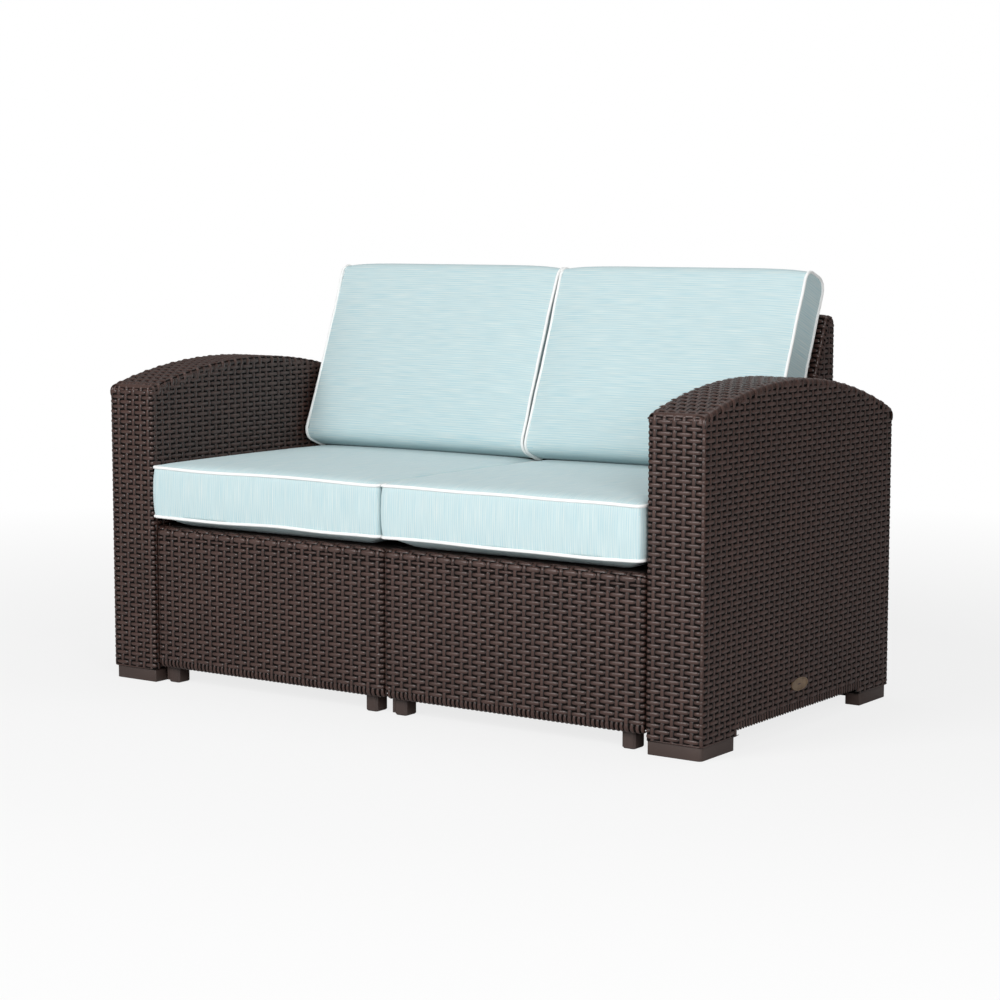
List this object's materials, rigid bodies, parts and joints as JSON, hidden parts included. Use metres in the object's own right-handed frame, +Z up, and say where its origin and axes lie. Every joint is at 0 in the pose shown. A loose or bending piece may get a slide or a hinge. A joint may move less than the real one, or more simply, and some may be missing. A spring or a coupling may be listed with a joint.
{
  "type": "patio loveseat",
  "caption": "Two-seat patio sofa of brown moulded-wicker resin with arched hollow arms, wedge backs and loose aqua box cushions with white piping.",
  "frame": {"origin": "on the ground under the middle of the sofa's outer box", "axes": "+X to the right of someone looking at the sofa's front, +Y from front to back, +Z up"},
  "size_m": [1.395, 0.738, 0.8452],
  "materials": {
    "wicker_brown_resin": "satin moulded wicker relief",
    "plain_brown_resin": "satin",
    "inner_brown_resin": "matt moulded",
    "aqua_fabric": "fine streaked weave",
    "white_piping": "plain woven",
    "cushion_foam": "open-cell foam",
    "bronze_badge": "aged satin"
  },
  "bodies": {
    "frame": {"arm_left_front_foot": "plain_brown_resin", "arm_left_inner_panel": "wicker_brown_resin", "arm_left_outer_shell": "wicker_brown_resin", "arm_left_rear_foot": "plain_brown_resin", "arm_right_badge": "bronze_badge", "arm_right_front_foot": "plain_brown_resin", "arm_right_inner_panel": "wicker_brown_resin", "arm_right_outer_shell": "wicker_brown_resin", "arm_right_rear_foot": "plain_brown_resin", "back_left_rear_cover": "wicker_brown_resin", "back_left_shell": "wicker_brown_resin", "back_right_rear_cover": "wicker_brown_resin", "back_right_shell": "wicker_brown_resin", "joining_keys_left": "inner_brown_resin", "joining_keys_middle": "inner_brown_resin", "joining_keys_right": "inner_brown_resin", "seat_left_deck": "inner_brown_resin", "seat_left_front_legs": "plain_brown_resin", "seat_left_front_skirt": "wicker_brown_resin", "seat_left_left_gable": "inner_brown_resin", "seat_left_rear_legs": "plain_brown_resin", "seat_left_rear_skirt": "wicker_brown_resin", "seat_left_right_gable": "inner_brown_resin", "seat_right_deck": "inner_brown_resin", "seat_right_front_legs": "plain_brown_resin", "seat_right_front_skirt": "wicker_brown_resin", "seat_right_left_gable": "inner_brown_resin", "seat_right_rear_legs": "plain_brown_resin", "seat_right_rear_skirt": "wicker_brown_resin", "seat_right_right_gable": "inner_brown_resin"},
    "seat_cushion_left": {"seat_cushion_left_core": "cushion_foam", "seat_cushion_left_cover": "aqua_fabric"},
    "back_cushion_left": {"back_cushion_left_core": "cushion_foam", "back_cushion_left_cover": "aqua_fabric"},
    "seat_cushion_right": {"seat_cushion_right_core": "cushion_foam", "seat_cushion_right_cover": "aqua_fabric"},
    "back_cushion_right": {"back_cushion_right_core": "cushion_foam", "back_cushion_right_cover": "aqua_fabric"}
  },
  "joints": [
    {"name": "seat_cushion_left_lift", "type": "slide", "parent": "frame", "child": "seat_cushion_left", "axis": [0, 0, 1], "range_m": [0, 0.46]},
    {"name": "back_cushion_left_lift", "type": "slide", "parent": "seat_cushion_left", "child": "back_cushion_left", "axis": [0, 0, 1], "range_m": [0, 0.34]},
    {"name": "seat_cushion_right_lift", "type": "slide", "parent": "frame", "child": "seat_cushion_right", "axis": [0, 0, 1], "range_m": [0, 0.46]},
    {"name": "back_cushion_right_lift", "type": "slide", "parent": "seat_cushion_right", "child": "back_cushion_right", "axis": [0, 0, 1], "range_m": [0, 0.34]}
  ]
}
